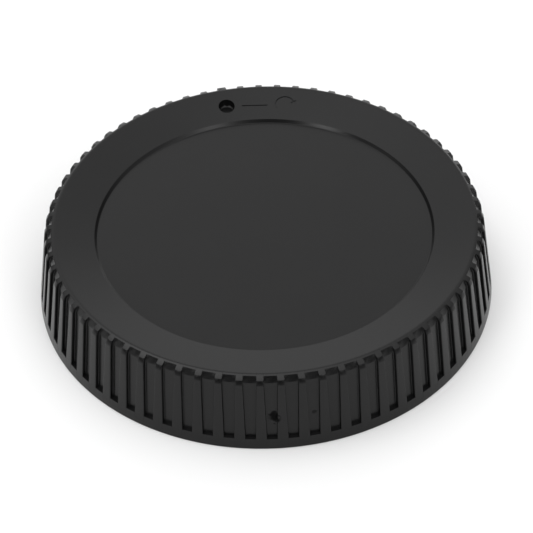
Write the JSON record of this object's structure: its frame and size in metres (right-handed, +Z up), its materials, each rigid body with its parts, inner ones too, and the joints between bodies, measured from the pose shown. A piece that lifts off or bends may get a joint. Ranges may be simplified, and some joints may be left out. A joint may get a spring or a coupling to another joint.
{
  "type": "rear lens cap",
  "caption": "Round push-and-twist cap for the back of a camera lens: ribbed side, dished top with a shallow recess, bayonet lugs inside.",
  "frame": {"origin": "middle of the open rim's plane", "axes": "+Z up from the open rim to the closed top, +Y towards the index marks, which lie about 11 degrees to its left"},
  "size_m": [0.0622, 0.0622, 0.0114],
  "materials": {
    "black_plastic": "satin black moulded plastic with a fine spark-eroded grain"
  },
  "bodies": {
    "root": {"cap": "black_plastic"}
  },
  "joints": []
}
